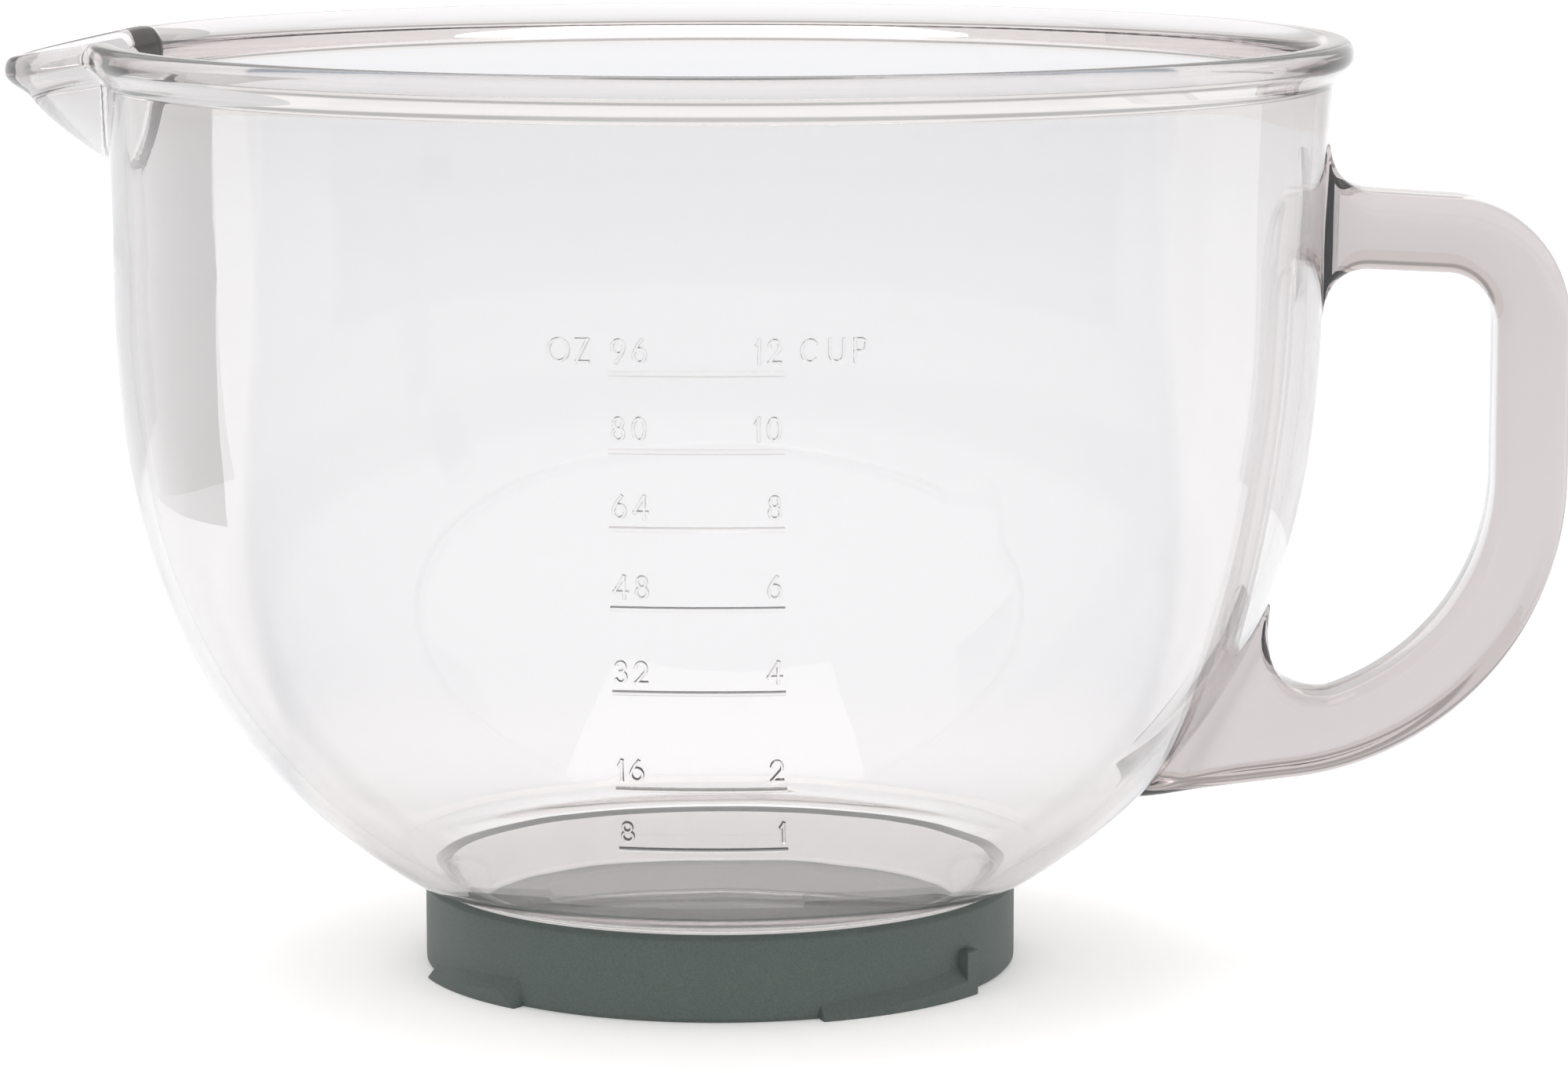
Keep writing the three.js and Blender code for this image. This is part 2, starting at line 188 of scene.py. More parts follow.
GROOVE_HALF_WIDTH = 0.8 * MM
GROOVE_DEPTH = 0.4 * MM
COLLAR_COLUMNS = 240
PLATE_COLUMNS = 180
SEAT_COLUMNS = 180
DISC_COLUMNS = 160
SCREW_COLUMNS = 32
HOLE_COLUMNS = 28


# ---- Outline helpers ----
def lerp(a, b, share):
    return a + (b - a) * share


def chaikin(points, rounds=2):
    """Cut the corners of an open outline, keeping its two ends."""
    for _ in range(rounds):
        cut = [points[0]]
        for a, b in zip(points, points[1:]):
            cut.append(tuple(lerp(p, q, 0.25) for p, q in zip(a, b)))
            cut.append(tuple(lerp(p, q, 0.75) for p, q in zip(a, b)))
        cut.append(points[-1])
        points = cut
    return points


def line(a, b, steps):
    """A straight stretch without its last point."""
    return [(lerp(a[0], b[0], i / steps), lerp(a[1], b[1], i / steps)) for i in range(steps)]


def bend(a, control, b, steps):
    """A quadratic curve without its last point."""
    points = []
    for i in range(steps):
        t = i / steps
        points.append(tuple(
            (1 - t) ** 2 * p + 2 * t * (1 - t) * c + t * t * q for p, c, q in zip(a, control, b)
        ))
    return points


def arc(centre, radii, start, end, steps):
    """Points on an ellipse arc, angles in degrees, without the last point."""
    points = []
    for i in range(steps):
        angle = math.radians(lerp(start, end, i / steps))
        points.append((centre[0] + radii[0] * math.cos(angle), centre[1] + radii[1] * math.sin(angle)))
    return points


def rounded_outline(outline, corner, steps=4):
    """Round every corner of a closed outline."""
    points = []
    count = len(outline)
    for i, here in enumerate(outline):
        ends = []
        for other in (outline[i - 1], outline[(i + 1) % count]):
            share = min(corner / math.dist(here, other), 0.45)
            ends.append((lerp(here[0], other[0], share), lerp(here[1], other[1], share)))
        points += bend(ends[0], here, ends[1], steps)
        points.append(ends[1])
    return points


# ---- Mesh helpers ----
def new_object(name, vertices, faces, material=None):
    mesh = bpy.data.meshes.new(name)
    mesh.from_pydata([tuple(v) for v in vertices], [], faces)
    mesh.update()
    made = bpy.data.objects.new(name, mesh)
    bpy.context.collection.objects.link(made)
    if material:
        mesh.materials.append(material)
    return made


def shade(piece, angle=35):
    for face in piece.data.polygons:
        face.use_smooth = True
    piece.data.set_sharp_from_angle(angle=math.radians(angle))


def face_out(piece):
    edit = bmesh.new()
    edit.from_mesh(piece.data)
    bmesh.ops.recalc_face_normals(edit, faces=edit.faces)
    edit.to_mesh(piece.data)
    edit.free()


def on_axis(radius, angle, height):
    return (radius * math.cos(angle), radius * math.sin(angle), height)


def revolve(name, outline, columns, material=None, place=on_axis):
    """Revolve (radius, height) points about +Z. An outline from axis to axis closes at its poles;
    any other outline is closed on itself. place(radius, angle, height) may move each vertex."""
    has_poles = outline[0][0] == 0 and outline[-1][0] == 0
    rows = outline[1:-1] if has_poles else outline
    vertices = []
    for radius, height in rows:
        vertices += [place(radius, TURN * i / columns, height) for i in range(columns)]
    faces = []
    for row in range(len(rows) - (1 if has_poles else 0)):
        above = (row + 1) % len(rows)
        for i in range(columns):
            j = (i + 1) % columns
            faces.append((row * columns + i, row * columns + j, above * columns + j, above * columns + i))
    if has_poles:
        bottom, top = len(vertices), len(vertices) + 1
        vertices += [(0, 0, outline[0][1]), (0, 0, outline[-1][1])]
        last = (len(rows) - 1) * columns
        for i in range(columns):
            j = (i + 1) % columns
            faces.append((bottom, j, i))
            faces.append((last + i, last + j, top))
    return new_object(name, vertices, faces, material)


def loft(name, sections, material=None, closed=False):
    """Skin closed sections with the same number of points, capped at both ends or joined in a loop."""
    count, rows = len(sections[0]), len(sections)
    vertices = [point for section in sections for point in section]
    faces = []
    for row in range(rows if closed else rows - 1):
        above = (row + 1) % rows
        for i in range(count):
            j = (i + 1) % count
            faces.append((row * count + i, row * count + j, above * count + j, above * count + i))
    if not closed:
        last = (rows - 1) * count
        faces.append(tuple(reversed(range(count))))
        faces.append(tuple(range(last, last + count)))
    made = new_object(name, vertices, faces, material)
    face_out(made)
    return made


def combine(target, tool, operation):
    """Join or cut target with tool, then delete the tool."""
    modifier = target.modifiers.new(operation.lower(), "BOOLEAN")
    modifier.operation = operation
    modifier.solver = "MANIFOLD"
    modifier.object = tool
    bpy.context.view_layer.objects.active = target
    bpy.ops.object.modifier_apply(modifier=modifier.name)
    bpy.data.objects.remove(tool, do_unlink=True)


def merge(objects, name):
    """Put the meshes of several objects that don't touch into one object."""
    edit = bmesh.new()
    for piece in objects:
        edit.from_mesh(piece.data)
    made = new_object(name, [], [])
    edit.to_mesh(made.data)
    edit.free()
    for piece in objects:
        bpy.data.objects.remove(piece, do_unlink=True)
    return made


# ---- Materials ----
GLASS_ABSORPTION = 30  # per metre
GLASS_ABSORPTION_COLOUR = (0.19, 0.03, 0.0, 1)
# Emission of the pale seat ring: painted light, a glow on a part that is no lamp.
SEAT_PAINTED_GLOW = 0.5


def material(name, **inputs):
    made = bpy.data.materials.new(name)
    made.use_nodes = True
    shader = made.node_tree.nodes["Principled BSDF"]
    for socket, value in inputs.items():
        shader.inputs[socket.replace("_", " ")].default_value = value
    return made


def add_noise(made, scale, detail=3.0):
    nodes, links = made.node_tree.nodes, made.node_tree.links
    place = nodes.new("ShaderNodeTexCoord")
    noise = nodes.new("ShaderNodeTexNoise")
    noise.inputs["Scale"].default_value = scale
    noise.inputs["Detail"].default_value = detail
    links.new(place.outputs["Object"], noise.inputs["Vector"])
    return noise


def add_bump(made, noise, distance):
    nodes, links = made.node_tree.nodes, made.node_tree.links
    bump = nodes.new("ShaderNodeBump")
    bump.inputs["Distance"].default_value = distance
    links.new(noise.outputs["Fac"], bump.inputs["Height"])
    links.new(bump.outputs["Normal"], nodes["Principled BSDF"].inputs["Normal"])


def add_tint(made, noise, dark, light, low=0.35, high=0.65):
    """Vary the base colour between two tones with the noise."""
    nodes, links = made.node_tree.nodes, made.node_tree.links
    tint = nodes.new("ShaderNodeValToRGB")
    for element, place, tone in zip(tint.color_ramp.elements, (low, high), (dark, light)):
        element.position = place
        element.color = (*tone, 1)
    links.new(noise.outputs["Fac"], tint.inputs["Fac"])
    links.new(tint.outputs["Color"], nodes["Principled BSDF"].inputs["Base Color"])


def add_roughness(made, noise, low, high):
    """Vary the roughness with the noise."""
    nodes, links = made.node_tree.nodes, made.node_tree.links
    spread = nodes.new("ShaderNodeMapRange")
    spread.inputs["To Min"].default_value = low
    spread.inputs["To Max"].default_value = high
    links.new(noise.outputs["Fac"], spread.inputs["Value"])
    links.new(spread.outputs["Result"], nodes["Principled BSDF"].inputs["Roughness"])


def glass_material():
    """Clear pressed glass: faint waves in its surface, and a warm grey where the light's path is long."""
    made = material("clear_glass", Base_Color=(0.99, 0.99, 0.99, 1), Roughness=0.0, IOR=1.47,
                    Transmission_Weight=0.95)
    add_bump(made, add_noise(made, scale=35, detail=1.0), distance=0.08 * MM)
    nodes, links = made.node_tree.nodes, made.node_tree.links
    depth = nodes.new("ShaderNodeVolumeAbsorption")
    depth.inputs["Color"].default_value = GLASS_ABSORPTION_COLOUR
    depth.inputs["Density"].default_value = GLASS_ABSORPTION
    links.new(depth.outputs["Volume"], nodes["Material Output"].inputs["Volume"])
    return made


def plastic_material():
    """Satin moulded plastic with a spark-eroded grain and slow colour drift."""
    made = material("grey_green_plastic", Specular_IOR_Level=0.35)
    grain = add_noise(made, scale=2600)
    add_bump(made, grain, distance=0.03 * MM)
    add_tint(made, grain, dark=(0.086, 0.108, 0.100), light=(0.104, 0.128, 0.119))
    add_roughness(made, add_noise(made, scale=60), low=0.48, high=0.62)
    return made


def silicone_material(name, dark, light, roughness, glow):
    """Soft moulded silicone: a fine matte skin with a faint mottle. The glow is painted light: an even
    emission that makes the silicone shine though no lamp lights it."""
    made = material(name, Specular_IOR_Level=0.3, Emission_Color=(1, 1, 1, 1), Emission_Strength=glow)
    add_bump(made, add_noise(made, scale=1500), distance=0.02 * MM)
    add_tint(made, add_noise(made, scale=220), dark, light)
    add_roughness(made, add_noise(made, scale=90), low=roughness - 0.06, high=roughness + 0.06)
    return made


def steel_material():
    """Stainless steel with a fine uneven polish."""
    made = material("screw_steel", Metallic=1.0, Base_Color=(0.62, 0.63, 0.64, 1))
    noise = add_noise(made, scale=900)
    add_bump(made, noise, distance=0.01 * MM)
    add_roughness(made, noise, low=0.22, high=0.42)
    return made


GLASS = glass_material()
PLASTIC = plastic_material()
# The pale silicone of the seat ring carries a painted glow, so it shows brighter through the glass.
PALE_SILICONE_PAINTED_GLOW = silicone_material("pale_silicone", dark=(0.88, 0.87, 0.85), light=(0.93, 0.92, 0.90),
                                  roughness=0.6, glow=SEAT_PAINTED_GLOW)
GREY_SILICONE = silicone_material("grey_silicone", dark=(0.070, 0.082, 0.078),
                                  light=(0.088, 0.100, 0.095), roughness=0.75, glow=0)
STEEL = steel_material()


# ---- Glass bowl ----
def wall_radius(height):
    drop = min(max((SHOULDER_HEIGHT - height) / BELLY_DROP, 0), 1)
    return WALL_RADIUS * (1 - drop ** BELLY_POWER) ** (1 / WALL_POWER)


def outer_wall(steps):
    points = []
    for i in range(steps + 1):
        height = lerp(BELLY_START_HEIGHT, SHOULDER_HEIGHT, (i / steps) ** WALL_SPACING)
        points.append((wall_radius(height), height))
    return points


def wall_thickness(height):
    depth = min(max(1 - (height - GLASS_BOTTOM) / SHOULDER_HEIGHT, 0), 1)
    return lerp(WALL_THICKNESS, BOTTOM_THICKNESS, depth ** 2)


def inner_wall(outer):
    """The outer wall's points moved inwards by the wall's thickness."""
    moved = []
    for before, here, after in zip(outer, outer[1:], outer[2:]):
        run = math.dist(before, after)
        thickness = wall_thickness(here[1])
        moved.append((here[0] - (after[1] - before[1]) / run * thickness,
                      here[1] + (after[0] - before[0]) / run * thickness))
    return moved


def bowl_outline():
    outer = outer_wall(WALL_STEPS)
    inner = inner_wall(outer)[::-1]
    floor = GLASS_BOTTOM + BOTTOM_THICKNESS
    w = WALL_RADIUS
    underside = chaikin([
        (POLE_RADIUS, GLASS_BOTTOM),
        (FLAT_RADIUS, GLASS_BOTTOM),
        *OUTER_BEND,
        outer[0],
    ], 3)
    rim = chaikin([
        outer[-1],
        (w + 0.1 * MM, 144 * MM),
        (w + 0.5 * MM, 155 * MM),
        (w + 1.1 * MM, RIM_TOP - 9 * MM),
        (w + 1.3 * MM, RIM_TOP - 7.3 * MM),
        (w + 3.4 * MM, RIM_TOP - 5.3 * MM),
        (w + 5.0 * MM, RIM_TOP - 3.9 * MM),
        (w + 5.0 * MM, RIM_TOP - 1.6 * MM),
        (w + 4.0 * MM, RIM_TOP - 0.1 * MM),
        (w + 1.9 * MM, RIM_TOP + 0.1 * MM),
        (w - 0.2 * MM, RIM_TOP - 0.1 * MM),
        (w - 1.6 * MM, RIM_TOP - 1.9 * MM),
        (w - 2.1 * MM, RIM_TOP - 4.6 * MM),
        (w - 2.3 * MM, RIM_TOP - 10 * MM),
        (w - 2.5 * MM, 150 * MM),
        inner[0],
    ], 3)
    bottom = chaikin([
        inner[-1],
        *INNER_BEND,
        (FLAT_RADIUS, floor),
        (POLE_RADIUS, floor),
    ], 3)
    return [(0, GLASS_BOTTOM), *underside[:-1], *outer, *rim[1:-1], *inner, *bottom[1:], (0, floor)]


def bowl_place(radius, angle, height):
    """Crowd the columns towards the spout at -X, then push the spout out of the wall."""
    turn = (angle / math.pi + 1) % 2 - 1
    side = math.pi * (SPOUT_CROWDING * turn + (1 - SPOUT_CROWDING) * turn ** 3)
    climb = (height - SPOUT_ROOT_HEIGHT) / (SPOUT_FULL_HEIGHT - SPOUT_ROOT_HEIGHT)
    if climb > 0:
        level = min(climb, 1)
        across = abs(side) * WALL_RADIUS / (SPOUT_HALF_WIDTH * math.sqrt(level))
        if across < 1:
            blunt = SPOUT_TIP_ROUNDING
            crest = math.hypot(1, blunt) - math.hypot(across, blunt)
            bulge = crest / (math.hypot(1, blunt) - blunt)
            radius += SPOUT_REACH * (1 - (1 - level) ** SPOUT_RISE_POWER) * bulge
            height -= SPOUT_DIP * level * bulge
    return (-radius * math.cos(side), -radius * math.sin(side), height)


# ---- Handle ----
def handle_rails():
    """The handle's outer and inner edges in the XZ plane, paired point by point."""
    centre = (HANDLE_OUTER_X - SWEEP_OUTER, SWEEP_HEIGHT)
    w = WALL_RADIUS
    root, fillet, bar, corner, grip, sweep, tail, buried = (4, 12, 8, 18, 12, 44, 16, 4)

    def on_sweep(radius, degrees):
        angle = math.radians(degrees)
        return (centre[0] + radius * math.cos(angle), centre[1] + radius * math.sin(angle))

    elbow_x, elbow_z = HANDLE_OUTER_X - ELBOW[0], BAR_TOP - ELBOW_DROP
    tail_end = (w - TAIL_INSET, SWEEP_HEIGHT - TAIL_DROP)
    root_top = (w + 0.6 * MM, ROOT_TOP)
    bar_start = (w + 10 * MM, BAR_TOP)
    outer = (
        line((w - ROOT_DEPTH, ROOT_TOP), root_top, root)
        + bend(root_top, (w + 1.6 * MM, BAR_TOP + 0.5 * MM), bar_start, fillet)
        + line(bar_start, (elbow_x, BAR_TOP - 0.8 * MM), bar)
        + arc((elbow_x, elbow_z), ELBOW, 90, 0, corner)
        + line((HANDLE_OUTER_X, elbow_z), (HANDLE_OUTER_X, SWEEP_HEIGHT), grip)
        + arc(centre, (SWEEP_OUTER, SWEEP_OUTER), 0, SWEEP_OUTER_END, sweep)
        + line(on_sweep(SWEEP_OUTER, SWEEP_OUTER_END), tail_end, tail)
        + [tail_end]
    )
    wall_point = (wall_radius(TAIL_ROOT_HEIGHT) + 0.4 * MM, TAIL_ROOT_HEIGHT)
    inner_end = (w - 18 * MM, 71 * MM)
    crook = (HANDLE_INNER_X - CROOK[0], BAR_BOTTOM - CROOK_DROP)
    root_bottom = (w - 0.6 * MM, ROOT_BOTTOM)
    bar_start = (w + 7.5 * MM, BAR_BOTTOM)
    inner = (
        line((w - ROOT_DEPTH, ROOT_BOTTOM), root_bottom, root)
        + bend(root_bottom, (w + 0.4 * MM, BAR_BOTTOM - 0.3 * MM), bar_start, fillet)
        + line(bar_start, (crook[0], BAR_BOTTOM - 0.6 * MM), bar)
        + arc(crook, CROOK, 90, 0, corner)
        + line((HANDLE_INNER_X, crook[1]), (HANDLE_INNER_X, SWEEP_HEIGHT), grip)
        + arc(centre, (SWEEP_INNER, SWEEP_INNER), 0, SWEEP_INNER_END, sweep)
        + bend(on_sweep(SWEEP_INNER, SWEEP_INNER_END), TAIL_CONTROL, wall_point, tail - buried)
        + line(wall_point, inner_end, buried)
        + [inner_end]
    )
    return outer, inner


def section_ring(outer, inner, half_width, corner, per_corner=6):
    """A rounded rectangle between two rail points, lying across the handle."""
    a = Vector((outer[0], 0, outer[1]))
    b = Vector((inner[0], 0, inner[1]))
    middle = (a + b) / 2
    reach = (a - b).length / 2
    up = (a - b).normalized()
    across = Vector((0, 1, 0))
    corner = min(corner, reach * CORNER_LIMIT, half_width * CORNER_LIMIT)
    points = []
    for quarter in range(4):
        for i in range(per_corner + 1):
            angle = math.pi / 2 * (quarter + i / per_corner)
            rise = (1 if quarter in (0, 3) else -1) * (reach - corner) + corner * math.cos(angle)
            aside = (1 if quarter in (0, 1) else -1) * (half_width - corner) + corner * math.sin(angle)
            points.append(middle + up * rise + across * aside)
    return points


def build_handle():
    sections = []
    for a, b in zip(*handle_rails()):
        stand_off = (a[0] + b[0]) / 2 - wall_radius((a[1] + b[1]) / 2)
        near = 1 - min(max(stand_off / FLARE_REACH, 0), 1)
        half_width = HANDLE_HALF_WIDTH + HANDLE_FLARE * near ** FLARE_POWER
        sections.append(section_ring(a, b, half_width, HANDLE_CORNER))
    return loft("handle_solid", sections, GLASS)


# ---- Volume marks, in millimetres on the unrolled wall: u to the right, v up ----
def on_wall(u, v, proud):
    """A place u millimetres round from the front (-Y) at height v, standing proud of the wall."""
    height = v * MM
    slope = (wall_radius(height + MM) - wall_radius(height - MM)) / (2 * MM)
    out = 1 / math.hypot(1, slope)
    radius = wall_radius(height) + proud * MM * out
    angle = u * MM / wall_radius(height)
    return (radius * math.sin(angle), -radius * math.cos(angle), height - proud * MM * slope * out)


def stroke(points, width, closed=False, proud=MARK_PROUD):
    """A raised line with sloping shoulders along points, with square ends or joined in a loop."""
    half = width / 2
    last = len(points) - 1
    sections = []
    for i, (u, v) in enumerate(points):
        before = points[i - 1] if closed or i > 0 else points[i]
        after = points[(i + 1) % len(points)] if closed or i < last else points[i]
        run = math.dist(before, after)
        along = ((after[0] - before[0]) / run, (after[1] - before[1]) / run)
        if not closed and i in (0, last):
            shift = -half if i == 0 else half
            u, v = u + along[0] * shift, v + along[1] * shift
        section = []
        for aside, rise in ((-1, -MARK_SUNK), (1, -MARK_SUNK), (1, MARK_ROOT), (STROKE_TOP, proud),
                             (-STROKE_TOP, proud), (-1, MARK_ROOT)):
            section.append(on_wall(u - along[1] * half * aside, v + along[0] * half * aside, rise))
        sections.append(section)
    return loft("stroke", sections, None, closed)


def loop(centre, radii):
    return (arc(centre, radii, 0, 360, LOOP_STEPS), True)


def sweep(centre, radii, start, end):
    return (arc(centre, radii, start, end, SWEEP_STEPS) + arc(centre, radii, end, end + 1, 1), False)


def path(*points):
    return (list(points), False)


def curve(a, control, b):
    return (bend(a, control, b, CURVE_STEPS) + [b], False)


# Each glyph is (width as a share of a digit, its strokes in a unit box).
SIX = [loop((0.5, 0.31), (0.5, 0.31)), curve((0.06, 0.44), (0.2, 0.68), (0.66, 1.0))]
GLYPHS = {
    "0": (1.0, [loop((0.5, 0.5), (0.5, 0.5))]),
    "1": (0.4, [path((1.0, 0.0), (1.0, 1.0)), path((1.0, 1.0), (0.0, 0.8))]),
    "2": (0.95, [sweep((0.5, 0.7), (0.47, 0.3), 165, -30), path((0.9, 0.54), (0.05, 0.0)),
                 path((0.05, 0.0), (1.0, 0.0))]),
    "3": (0.9, [sweep((0.45, 0.76), (0.42, 0.24), 150, -90), sweep((0.45, 0.26), (0.5, 0.26), 90, -150)]),
    "4": (1.05, [path((0.76, 0.0), (0.76, 1.0)), path((0.76, 1.0), (0.0, 0.28)),
                 path((0.0, 0.28), (1.0, 0.28))]),
    "6": (1.0, SIX),
    "8": (0.95, [loop((0.5, 0.76), (0.4, 0.24)), loop((0.5, 0.26), (0.5, 0.26))]),
    "9": (1.0, [([(1 - u, 1 - v) for u, v in points], closed) for points, closed in SIX]),
    "O": (1.55, [loop((0.5, 0.5), (0.5, 0.5))]),
    "Z": (0.95, [path((0.0, 1.0), (1.0, 1.0)), path((1.0, 1.0), (0.0, 0.0)), path((0.0, 0.0), (1.0, 0.0))]),
    "C": (1.3, [sweep((0.5, 0.5), (0.5, 0.5), 48, 312)]),
    "U": (1.15, [path((0.0, 1.0), *arc((0.5, 0.4), (0.5, 0.4), 180, 360, 12), (1.0, 0.4), (1.0, 1.0))]),
    "P": (0.95, [path((0.0, 0.0), (0.0, 1.0)),
                 path((0.0, 1.0), *arc((0.55, 0.73), (0.45, 0.27), 90, -90, 10), (0.5, 0.46),
                      (0.0, 0.46))]),
}


def glyph_width(text, gap):
    return sum(GLYPHS[letter][0] * DIGIT_WIDTH for letter in text) + gap * (len(text) - 1)


def write(text, left, bottom, gap=DIGIT_GAP):
    """Raised figures on the wall with their left end at `left`."""
    made = []
    inset = STROKE / 2
    for letter in text:
        share, strokes = GLYPHS[letter]
        width = share * DIGIT_WIDTH
        solids = []
        for points, closed in strokes:
            placed = [(left + inset + u * (width - STROKE), bottom + inset + v * (DIGIT_HEIGHT - STROKE))
                      for u, v in points]
            solids.append(stroke(placed, STROKE, closed))
        for extra in solids[1:]:
            combine(solids[0], extra, "UNION")
        made.append(solids[0])
        left += width + gap
    return made


def build_marks():
    made = []
    for height, cups in MARKS:
        points = [(lerp(-MARK_HALF_WIDTH, MARK_HALF_WIDTH, i / LINE_STEPS), height)
                  for i in range(LINE_STEPS + 1)]
        made.append(stroke(points, LINE_THICKNESS, proud=LINE_PROUD))
        bottom = height + LINE_THICKNESS / 2 + DIGIT_RAISE
        made += write(str(cups * OUNCES_PER_CUP), -MARK_HALF_WIDTH, bottom)
        made += write(str(cups), MARK_HALF_WIDTH - glyph_width(str(cups), DIGIT_GAP), bottom)
    top_bottom = MARKS[0][0] + LINE_THICKNESS / 2 + DIGIT_RAISE
    made += write("OZ", -MARK_HALF_WIDTH - OZ_MARGIN - glyph_width("OZ", OZ_GAP), top_bottom, OZ_GAP)
    made += write("CUP", MARK_HALF_WIDTH + CUP_MARGIN, top_bottom, CUP_GAP)
    return merge(made, "marks")


def build_core():
    """A solid up to the middle of the wall, which cuts off the handle's buried ends."""
    outside = [(52 * MM, CORE_BOTTOM), *outer_wall(WALL_STEPS), (WALL_RADIUS + 0.3 * MM, CORE_TOP)]
    outline = [(0, CORE_BOTTOM), *[(r - CORE_INSET, h) for r, h in outside], (0, CORE_TOP)]
    return revolve("core", outline, BOWL_COLUMNS, None, bowl_place)


def build_glass():
    bowl = revolve("bowl_and_handle_glass", bowl_outline(), BOWL_COLUMNS, GLASS, bowl_place)
    handle = build_handle()
    combine(handle, build_core(), "DIFFERENCE")
    combine(bowl, handle, "UNION")
    combine(bowl, build_marks(), "UNION")
    shade(bowl, angle=40)
    return bowl


glass = build_glass()
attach(glass, "root")
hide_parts("glass_bowl", "handle")


# ---- Base ----
def screw_places():
    for i in range(SCREW_COUNT):
        angle = math.radians(SCREW_START + 360 * i / SCREW_COUNT)
        yield (SCREW_CIRCLE * math.cos(angle), SCREW_CIRCLE * math.sin(angle))


def moved(piece, x, y):
    for vertex in piece.data.vertices:
        vertex.co.x += x
        vertex.co.y += y
    return piece


def lug_section(start, angle, edge_height, facet, slant=0.0):
    """A slice of a lug: upright outside, with its upper edge cut to a facet. The higher and the
    further out a point is, the more of the slant it lags behind its place on the arc."""
    inner, outer = COLLAR_RADIUS - LUG_ROOT, COLLAR_RADIUS + LUG_PROUD
    cut = LUG_EDGE_CHAMFER if facet else STOP_CHAMFER
    outline = [
        (inner, LUG_FOOT),
        (outer - LUG_FOOT_CHAMFER[0], LUG_FOOT),
        (outer, LUG_FOOT_CHAMFER[1]),
        (outer, edge_height - cut),
        (outer - cut, edge_height),
        (inner, edge_height + facet),
    ]
    points = []
    for radius, height in outline:
        lag = slant * (radius - inner) / (outer - inner) * height / edge_height
        turn = math.radians(start + angle - lag)
        points.append((radius * math.cos(turn), radius * math.sin(turn), height))
    return points


def build_lug(start, span, slant):
    sections = []
    for step in range(LUG_STEPS + 1):
        along = step / LUG_STEPS
        edge_height = lerp(LUG_START_HEIGHT, LUG_END_HEIGHT, along)
        sections.append(lug_section(start, along * span, edge_height, LUG_FACET, slant * along))
    return loft("lug", sections)


def build_stop(start):
    sections = []
    for step in range(STOP_STEPS + 1):
        sections.append(lug_section(start, STOP_SPAN * step / STOP_STEPS, STOP_HEIGHT, 0))
    return loft("stop", sections)


def build_recess():
    """The hollow for a screw's head in the flange, with the hole for its shank."""
    head_room = mm((2.3, -1), (2.3, -0.2), (2.2, 0), (2.2, 1.1))
    shank_room = [(SCREW_HOLE_RADIUS, 1.1 * MM), (SCREW_HOLE_RADIUS, 3 * MM)]
    return revolve("recess", [(0, -MM), *head_room, *shank_room, (0, 3 * MM)], SCREW_COLUMNS)


def build_collar():
    r, top = COLLAR_RADIUS, COLLAR_TOP
    outline = rounded_outline([
        (FLANGE_RADIUS, 0.0),
        (r - 0.9 * MM, 0.0),
        (r - 0.05 * MM, 0.9 * MM),
        (r, 2 * MM),
        (r, top - 1.0 * MM),
        (r - 0.75 * MM, top),
        (r - 1.1 * MM, top),
        (COLLAR_BORE, top - 1.1 * MM),
        (COLLAR_BORE, FLANGE_TOP),
        (FLANGE_RADIUS, FLANGE_TOP),
    ], corner=0.25 * MM)
    collar = revolve("base_collar_moulding", outline, COLLAR_COLUMNS, PLASTIC)
    for i in range(LUG_COUNT):
        start = LUG_START + 360 / LUG_COUNT * i
        if i % 2 == 0:
            combine(collar, build_lug(start, STOPPED_LUG_SPAN, 0), "UNION")
            combine(collar, build_stop(start + STOPPED_LUG_SPAN), "UNION")
        else:
            combine(collar, build_lug(start, LUG_SPAN, LUG_END_SLANT), "UNION")
    for x, y in screw_places():
        combine(collar, moved(build_recess(), x, y), "DIFFERENCE")
    shade(collar, angle=30)
    return collar


def build_plate():
    low, high, edge, cut = PLATE_BOTTOM, PLATE_TOP, COLLAR_BORE - 0.3 * MM, PLATE_CHAMFER
    outline = [
        (0, low),
        (edge - cut, low),
        (edge, low + cut),
        (edge, high - cut),
        (edge - cut, high),
        (0, high),
    ]
    plate = revolve("base_plate_moulding", outline, PLATE_COLUMNS, PLASTIC)
    for x, y in screw_places():
        radius, depth = SCREW_HOLE_RADIUS, 3.6 * MM
        hole = revolve("hole", [(0, 0), (radius, 0), (radius, depth), (0, depth)], HOLE_COLUMNS)
        combine(plate, moved(hole, x, y), "DIFFERENCE")
    shade(plate, angle=30)
    return plate


def build_seat():
    outer, foot, top = COLLAR_BORE - 0.25 * MM, seat_low[2], SEAT_BEND[0][1]
    outline = [(SEAT_BEND[-1][0], foot), (outer, foot), (outer, top), *SEAT_BEND]
    outline = rounded_outline(outline, corner=0.2 * MM)
    seat = revolve("seat_ring_moulding", outline, SEAT_COLUMNS, PALE_SILICONE_PAINTED_GLOW)
    shade(seat)
    return seat


def build_slip_disc():
    """A soft disc with rounded edges and shallow round grooves in its underside."""
    radius, top = disc_high[0], disc_high[2]
    underside = [(0, 0)]
    half, depth = GROOVE_HALF_WIDTH, GROOVE_DEPTH
    for i in range(GROOVE_COUNT):
        groove = GROOVE_PITCH * (i + 1)
        underside += [(groove - half, 0), (groove - half / 2, depth), (groove + half / 2, depth),
                      (groove + half, 0)]
    outline = underside + [
        (radius - 0.4 * MM, 0),
        (radius, 0.4 * MM),
        (radius, top - 0.3 * MM),
        (radius - 0.3 * MM, top),
        (0, top),
    ]
    made = revolve("anti_slip_disc_moulding", outline, DISC_COLUMNS, GREY_SILICONE)
    shade(made, angle=30)
    return made


